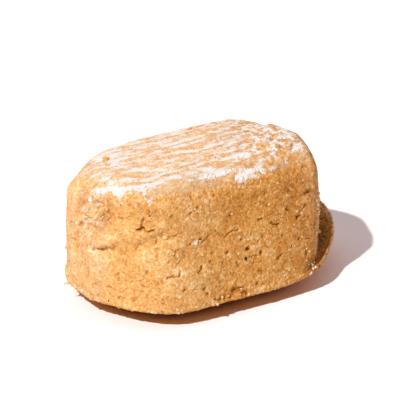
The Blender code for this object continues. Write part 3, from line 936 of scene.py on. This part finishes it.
def bit_material(name, dark, light, roughness, specular=0.3, bump=0.00004):
    """For loose bits: a tone that changes from one to the next and inside each."""
    material, nodes, shader, where = start_material(name)
    tone = tex_noise(nodes, where, 1.4, 2.0)
    grit = tex_noise(nodes, where, 7.0, 2.0, 0.6)
    tone = maths(nodes, "MULTIPLY_ADD", grit, 0.5, maths(nodes, "MULTIPLY_ADD", tone, 1.3, -0.40))
    colour = blend(nodes, smooth(nodes, tone, 0.2, 0.8), (*dark, 1.0), (*light, 1.0))
    material.node_tree.links.new(colour, shader.inputs["Base Color"])
    material.node_tree.links.new(maths(nodes, "MULTIPLY_ADD", grit, 0.16, roughness - 0.08), shader.inputs["Roughness"])
    shader.inputs["Specular IOR Level"].default_value = specular
    made = add(nodes, "ShaderNodeBump", {"Strength": 0.6, "Distance": bump, "Height": grit})
    material.node_tree.links.new(made.outputs[0], shader.inputs["Normal"])
    return material


body.data.materials.append(crumb_material())
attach(body, "root")
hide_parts("polvoron")

# ================================================================ loose bits
corner_a, corner_b, corner_c = (final[faces[:, i]] for i in range(3))
flat = np.cross(corner_b - corner_a, corner_c - corner_a)
area = np.linalg.norm(flat, axis=1) / 2.0
final_normal = normals_of(final, faces)


def scattered(count, weight, rng):
    """Random points of the surface, more of them where the weight is high."""
    share_of = area * weight[faces].mean(1)
    share_of = share_of / share_of.sum()
    chosen = rng.choice(len(faces), count, p=share_of)
    a, b = rng.random((2, count))
    turn = a + b > 1.0
    a, b = np.where(turn, 1.0 - a, a), np.where(turn, 1.0 - b, b)
    spot = corner_a[chosen] + a[:, None] * (corner_b[chosen] - corner_a[chosen]) \
        + b[:, None] * (corner_c[chosen] - corner_a[chosen])
    facing = final_normal[faces[chosen]].mean(1)
    return spot, facing / np.linalg.norm(facing, axis=1, keepdims=True)


def round_bit(times):
    """A ball of flat faces: 12 corners, or 42 when split once."""
    gold = (1.0 + math.sqrt(5.0)) / 2.0
    corners = [(-1, gold, 0), (1, gold, 0), (-1, -gold, 0), (1, -gold, 0), (0, -1, gold), (0, 1, gold),
               (0, -1, -gold), (0, 1, -gold), (gold, 0, -1), (gold, 0, 1), (-gold, 0, -1), (-gold, 0, 1)]
    points = np.array(corners, float)
    points /= np.linalg.norm(points, axis=1, keepdims=True)
    gap = np.sort(np.linalg.norm(points[0] - points, axis=1))[1] * 1.01
    shell = []
    for i in range(12):
        for j in range(i + 1, 12):
            for k in range(j + 1, 12):
                if max(np.linalg.norm(points[i] - points[j]), np.linalg.norm(points[j] - points[k]),
                       np.linalg.norm(points[i] - points[k])) < gap:
                    out = np.cross(points[j] - points[i], points[k] - points[i]) @ points[i] > 0
                    shell.append((i, j, k) if out else (i, k, j))
    points, shell = points.tolist(), shell
    for _ in range(times):
        halfway, finer = {}, []

        def middle(i, j):
            key = (min(i, j), max(i, j))
            if key not in halfway:
                m = (np.array(points[i]) + np.array(points[j])) / 2.0
                points.append((m / np.linalg.norm(m)).tolist())
                halfway[key] = len(points) - 1
            return halfway[key]

        for i, j, k in shell:
            a, b, c = middle(i, j), middle(j, k), middle(k, i)
            finer += [(i, a, c), (j, b, a), (k, c, b), (a, b, c)]
        shell = finer
    return np.array(points), np.array(shell)


def box_bit():
    points = np.array([(i, j, k) for i in (-1, 1) for j in (-1, 1) for k in (-1, 1)], float) * 0.62
    shell = [(0, 1, 3), (0, 3, 2), (4, 6, 7), (4, 7, 5), (0, 4, 5), (0, 5, 1), (2, 3, 7), (2, 7, 6),
             (0, 2, 6), (0, 6, 4), (1, 5, 7), (1, 7, 3)]
    return points, np.array(shell)


def bits(name, spots, facings, sizes, rng, shape, material, slot="crumb", flat_by=0.65, sink=0.35,
         uneven=0.30, body_name="root"):
    """One joined mesh of many small bits, each half sunk in the surface."""
    points, shell = shape
    count, corners = len(spots), len(points)
    variety = np.stack([points * (1.0 + uneven * (rng.random((corners, 1)) * 2.0 - 1.0)) for _ in range(16)])
    own = variety[rng.integers(0, 16, count)]
    spin = rng.normal(size=(count, 4))
    spin /= np.linalg.norm(spin, axis=1, keepdims=True)
    a, b, c, d = spin.T
    matrix = np.stack([
        np.stack([1 - 2 * (c * c + d * d), 2 * (b * c - d * a), 2 * (b * d + c * a)], 1),
        np.stack([2 * (b * c + d * a), 1 - 2 * (b * b + d * d), 2 * (c * d - b * a)], 1),
        np.stack([2 * (b * d - c * a), 2 * (c * d + b * a), 1 - 2 * (b * b + c * c)], 1)], 1)
    stretch = rng.uniform(0.7, 1.3, (count, 1, 3))
    own = np.einsum("nij,nkj->nki", matrix, own * stretch)
    # flatten along the surface's own direction
    height = np.einsum("nki,ni->nk", own, facings)
    own = own - (height * (1.0 - flat_by))[..., None] * facings[:, None, :]
    centre = spots - facings * (sizes * sink * flat_by)[:, None]
    placed = own * sizes[:, None, None] + centre[:, None, :]
    placed = placed.reshape(-1, 3)
    placed[:, 2] = np.maximum(placed[:, 2], 0.02)
    triangles = (shell[None] + (np.arange(count) * corners)[:, None, None]).reshape(-1, 3)
    thing = write_mesh(name, placed, triangles)
    thing.data.materials.append(material)
    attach(thing, body_name)
    return thing


def pixel_spots(rows):
    spots, facings, sizes = [], [], []
    for px, py, size in rows:
        hit = on_surface(px, py)
        if hit is None:
            continue
        # settle on the fine surface
        spot, facing = hit
        closest = int(np.argmin(((final - spot) ** 2).sum(1)))
        spots.append(final[closest])
        facings.append(final_normal[closest])
        sizes.append(size)
    return np.array(spots), np.array(facings), np.array(sizes)


def together(*groups):
    return tuple(np.concatenate([g[i] for g in groups]) for i in range(3))


def pick(count, weight, low, high, rng, power=2.0):
    spots, facings = scattered(count, weight, rng)
    return spots, facings, low + (high - low) * rng.random(count) ** power


many = 1.0
wall_weight = side * alive * (1.0 - 0.8 * under)
off_base = alive * (1.0 - under)

rng = np.random.default_rng(11)
flour_weight = step(0.45, 0.85, flour) * alive
group = pick(int(5200 * many), flour_weight + 1e-9, 0.05, 0.17, rng)
bits("flour_grains", *group, rng, round_bit(0),
     bit_material("flour_grain", (0.86, 0.76, 0.71), (0.93, 0.88, 0.86), 0.9), flat_by=0.7, sink=0.3)

rng = np.random.default_rng(12)
ridge = [(317.5 + 0.9 * ((n * 5) % 3) / 2, 193.0 + 21.0 * t, 0.26 + 0.20 * ((n * 7) % 5) / 4) for n, t in enumerate(np.linspace(0, 1, 24))]
rim_crumbs = [(325.6 + 3.4 * t, 210.0 + 8.0 * t, 0.20 + 0.16 * ((n * 3) % 4) / 3) for n, t in enumerate(np.linspace(0, 1, 8))]
wall_crumbs = [
    (88.6, 244.6, 0.34), (89.2, 247.0, 0.42), (90.0, 249.2, 0.26), (164.6, 238.6, 0.30), (166.6, 238.8, 0.34),
    (163.2, 241.0, 0.26), (167.8, 236.4, 0.22), (87.8, 205.0, 0.30), (85.6, 209.4, 0.34), (83.8, 212.0, 0.26),
    (84.0, 215.6, 0.30), (92.4, 216.0, 0.26), (98.4, 214.0, 0.30), (101.0, 219.0, 0.28), (96.0, 221.4, 0.30),
    (104.0, 217.4, 0.26), (106.6, 212.0, 0.28), (94.4, 223.8, 0.24), (69.8, 283.6, 0.34), (72.6, 284.6, 0.22),
    (73.8, 281.4, 0.26), (68.4, 279.6, 0.22), (318.6, 231.4, 0.32), (318.2, 233.0, 0.22), (317.8, 226.0, 0.24), (318.3, 221.0, 0.28), (317.6, 240.0, 0.20), (218.8, 298.6, 0.18),
    (223.6, 297.6, 0.20), (214.6, 301.6, 0.16), (228.6, 296.4, 0.18), (232.0, 292.0, 0.20), (236.0, 286.0, 0.20),
    (241.6, 288.6, 0.20), (209.0, 303.0, 0.18), (211.4, 299.0, 0.18), (264.4, 239.6, 0.22), (266.6, 241.0, 0.22),
    (186.2, 239.2, 0.16), (150.6, 217.4, 0.16), (283.8, 271.0, 0.18), (302.0, 214.6, 0.22), (304.4, 209.0, 0.20),
    (298.0, 211.6, 0.22), (111.4, 233.2, 0.20), (138.4, 233.4, 0.22), (136.6, 229.0, 0.20), (117.6, 198.0, 0.24),
]
# crumbs that cling to one another and stand off an edge: pixel, how many, size
clinging = []
for px, py, tall, size in ((71.4, 281.6, 5, 0.30), (326.4, 212.2, 3, 0.26), (329.4, 215.8, 3, 0.26), (332.0, 219.4, 2, 0.22),
                           (318.4, 231.6, 3, 0.28), (66.6, 247.0, 2, 0.26), (68.4, 226.0, 2, 0.24)):
    spots, facings, sizes = pixel_spots([(px, py, size)])
    if len(spots):
        climb = np.arange(tall)[:, None]
        clinging.append((spots + facings * climb * size * 0.62 + rng.normal(0.0, size * 0.22, (tall, 3)),
                         np.repeat(facings, tall, 0), size * (1.0 - 0.12 * climb[:, 0])))
group = together(pixel_spots(ridge + rim_crumbs + wall_crumbs), *clinging,
                 pick(int(900 * many), wall_weight + 0.08 * off_base, 0.09, 0.26, rng, 3.0),
                 pick(int(420 * many), rim_band * (up > -0.9) * alive + 1e-9, 0.10, 0.24, rng, 2.0))
bits("crumbs", *group, rng, round_bit(1),
     bit_material("loose_crumb", (0.78, 0.45, 0.17), (0.90, 0.62, 0.33), 0.85), flat_by=0.8, sink=0.35)

rng = np.random.default_rng(13)
dark = [
    (162.0, 210.2, 0.17), (150.3, 216.0, 0.17), (194.5, 210.9, 0.18), (99.7, 280.9, 0.18), (110.4, 292.6, 0.15),
    (108.7, 301.0, 0.17), (126.4, 288.3, 0.12), (147.4, 297.9, 0.14), (65.8, 264.0, 0.14), (75.4, 230.4, 0.17),
    (245.6, 259.0, 0.34), (200.6, 266.2, 0.26), (291.2, 245.6, 0.18), (264.8, 194.4, 0.16), (297.4, 174.4, 0.15),
    (287.4, 209.0, 0.17), (142.6, 228.4, 0.26), (319.6, 265.6, 0.18), (207.6, 254.0, 0.10), (226.0, 226.0, 0.10),
    (181.0, 233.6, 0.10), (120.6, 204.6, 0.10), (134.0, 207.6, 0.10), (92.4, 203.8, 0.14), (187.6, 245.6, 0.16),
    (162.4, 283.6, 0.10), (160.0, 290.4, 0.10), (254.4, 243.0, 0.10), (223.0, 268.0, 0.12), (272.4, 247.8, 0.10),
    (301.6, 228.8, 0.12), (240.0, 214.0, 0.10), (213.2, 237.6, 0.10), (190.4, 292.6, 0.12), (106.8, 160.4, 0.12),
    (112.6, 178.0, 0.10), (221.0, 129.0, 0.12), (170.0, 154.6, 0.14),
]
group = together(pixel_spots(dark), pick(int(170 * many), wall_weight * (x + y > -2.0) + 0.01 * off_base, 0.06, 0.13, rng, 2.0))
bits("specks_dark", *group, rng, round_bit(0),
     bit_material("dark_speck", (0.055, 0.023, 0.012), (0.175, 0.075, 0.038), 0.85, specular=0.10), slot=None, flat_by=0.45, sink=0.25)

rng = np.random.default_rng(14)
amber = [
    (145.8, 211.4, 0.36), (156.9, 256.0, 0.30), (156.7, 259.4, 0.32), (104.6, 292.6, 0.42), (108.7, 287.4, 0.34),
    (134.8, 299.7, 0.46), (155.3, 283.5, 0.30), (142.7, 284.4, 0.28), (195.9, 214.6, 0.28), (116.0, 275.3, 0.32),
    (160.9, 280.4, 0.22), (168.0, 297.8, 0.28), (181.2, 301.0, 0.32), (262.5, 243.2, 0.46), (259.2, 266.4, 0.26),
    (270.3, 265.8, 0.24), (235.4, 246.6, 0.34), (244.4, 292.4, 0.36), (274.2, 283.0, 0.28), (225.0, 226.4, 0.20),
    (102.6, 160.4, 0.42), (108.0, 165.4, 0.34), (172.0, 155.2, 0.28), (241.4, 156.4, 0.26), (272.4, 138.8, 0.30),
    (203.6, 189.6, 0.24), (214.8, 197.8, 0.24), (246.4, 188.0, 0.24), (251.6, 208.6, 0.28), (278.6, 201.6, 0.24),
    (306.6, 245.6, 0.20), (224.8, 219.4, 0.24), (92.6, 296.0, 0.30), (119.6, 279.4, 0.30), (86.4, 268.6, 0.22),
    (245.4, 270.0, 0.28), (192.6, 251.6, 0.24), (176.6, 208.4, 0.22), (129.6, 204.8, 0.22), (279.0, 190.0, 0.20),
]
group = together(pixel_spots([(px, py, size * 1.55) for px, py, size in amber]), pick(int(210 * many), wall_weight * (x + y > -2.0) + 0.10 * off_base, 0.10, 0.28, rng, 1.5))
bits("amber_bits", *group, rng, round_bit(1),
     bit_material("amber_bit", (0.58, 0.200, 0.034), (0.90, 0.410, 0.080), 0.75), slot=None, flat_by=0.20, sink=0.50)

rng = np.random.default_rng(15)
white = [
    (287.0, 277.4, 0.22), (180.2, 297.0, 0.24), (181.0, 295.4, 0.16), (191.0, 283.0, 0.16), (306.8, 248.0, 0.16),
    (307.4, 261.0, 0.18), (314.6, 264.6, 0.26), (314.2, 266.8, 0.30), (313.8, 269.0, 0.22), (311.8, 273.4, 0.24),
    (292.4, 246.4, 0.18), (195.0, 242.0, 0.24), (197.6, 243.4, 0.26), (193.6, 244.0, 0.20), (198.2, 240.6, 0.20),
    (327.8, 212.6, 0.26), (330.6, 215.6, 0.26), (333.0, 218.6, 0.22), (324.6, 209.6, 0.24), (70.6, 231.6, 0.24),
    (68.4, 272.4, 0.18), (77.6, 288.6, 0.20), (288.4, 163.2, 0.16), (152.0, 312.4, 0.24), (148.4, 311.8, 0.20),
    (155.6, 313.0, 0.20), (258.8, 282.4, 0.14), (126.4, 233.0, 0.14), (303.4, 179.6, 0.16), (259.0, 245.6, 0.18),
    (202.2, 192.4, 0.14), (213.4, 188.6, 0.14), (241.0, 294.8, 0.14), (263.6, 293.6, 0.14), (177.8, 255.6, 0.14),
    (193.6, 253.0, 0.14), (148.0, 272.0, 0.12),
]
# pale crumbs on the lumps of the blunt end
white += [(80.6 + 3.2 * ((n * 7) % 5) / 4 + 6.0 * t, 206.0 + 17.0 * t + 2.4 * ((n * 3) % 4) / 3, 0.13 + 0.12 * ((n * 5) % 4) / 3)
          for n, t in enumerate(np.linspace(0, 1, 26))]
white += [(86.4 + 4.4 * t + 1.6 * ((n * 5) % 3) / 2, 243.0 + 8.0 * t, 0.12 + 0.10 * ((n * 3) % 4) / 3) for n, t in enumerate(np.linspace(0, 1, 12))]
# pale crumbs along the far edge of the lip
white += [(320.6 + 11.6 * t, 202.6 + 17.0 * t + 1.6 * ((n * 5) % 3), 0.20 + 0.14 * ((n * 7) % 4) / 3) for n, t in enumerate(np.linspace(0, 1, 22))]
group = together(pixel_spots(white), pick(int(620 * many), wall_weight + 0.15 * off_base, 0.045, 0.11, rng, 1.6))
bits("sugar_grains", *group, rng, box_bit(),
     bit_material("sugar_grain", (0.88, 0.74, 0.52), (0.95, 0.88, 0.76), 0.35, specular=0.5), slot=None,
     flat_by=0.8, sink=0.3)

# ===================================================================== studio
floor_mesh = bpy.data.meshes.new("studio_floor")
floor_mesh.from_pydata([(-4, -4, -0.00002), (4, -4, -0.00002), (4, 4, -0.00002), (-4, 4, -0.00002)], [], [(0, 1, 2, 3)])
floor = bpy.data.objects.new("studio_floor", floor_mesh)
bpy.context.scene.collection.objects.link(floor)
floor_material, nodes, shader, where = start_material("studio_paper")
shader.inputs["Base Color"].default_value = (0.96, 0.97, 0.985, 1.0)
shader.inputs["Roughness"].default_value = 0.95
shader.inputs["Specular IOR Level"].default_value = 0.1
floor_mesh.materials.append(floor_material)

TO_LIGHT = np.array([-0.598, -0.231, 0.767])
sun_data = bpy.data.lights.new("key", "SUN")
sun_data.energy = 3.3
sun_data.angle = math.radians(1.7)
sun_data.color = (1.0, 1.0, 1.0)
sun = bpy.data.objects.new("key", sun_data)
sun.rotation_mode = "QUATERNION"
sun.rotation_quaternion = Vector(TO_LIGHT).to_track_quat("Z", "Y")
bpy.context.scene.collection.objects.link(sun)

world = bpy.data.worlds.new("studio")
world.use_nodes = True
bpy.context.scene.world = world
nodes = world.node_tree.nodes
nodes.clear()
# the sky is bright behind the biscuit and dark on the camera's side
ways = add(nodes, "ShaderNodeTexCoord").outputs["Generated"]
rise = add(nodes, "ShaderNodeSeparateXYZ", {0: ways}).outputs[2]
behind = add(nodes, "ShaderNodeVectorMath", {0: ways, 1: (0.62, 0.70, 0.35)}, operation="DOT_PRODUCT").outputs["Value"]
level = maths(nodes, "MULTIPLY", smooth(nodes, rise, 0.02, 0.70), smooth(nodes, behind, -0.20, 0.75))
soft = blend(nodes, level, (0.016, 0.014, 0.014, 1.0), (1.055, 0.890, 0.895, 1.0))
seen = add(nodes, "ShaderNodeLightPath").outputs["Is Camera Ray"]
soft = blend(nodes, seen, soft, (1.0, 1.0, 1.0, 1.0))
backdrop = add(nodes, "ShaderNodeBackground", {"Color": soft, "Strength": 1.0})
made = add(nodes, "ShaderNodeOutputWorld")
world.node_tree.links.new(backdrop.outputs[0], made.inputs[0])

camera_data = bpy.data.cameras.new("view")
camera_data.sensor_width = 36.0
camera_data.lens = 36.0 * FOCAL / 416.0
camera_data.clip_start, camera_data.clip_end = 0.01, 20.0
camera = bpy.data.objects.new("view", camera_data)
camera.location = EYE * MM
camera.rotation_mode = "QUATERNION"
camera.rotation_quaternion = Vector(-BACK).to_track_quat("-Z", "Y")
bpy.context.scene.collection.objects.link(camera)
bpy.context.scene.camera = camera
bpy.context.scene.view_settings.view_transform = "Standard"
bpy.context.scene.view_settings.look = "None"
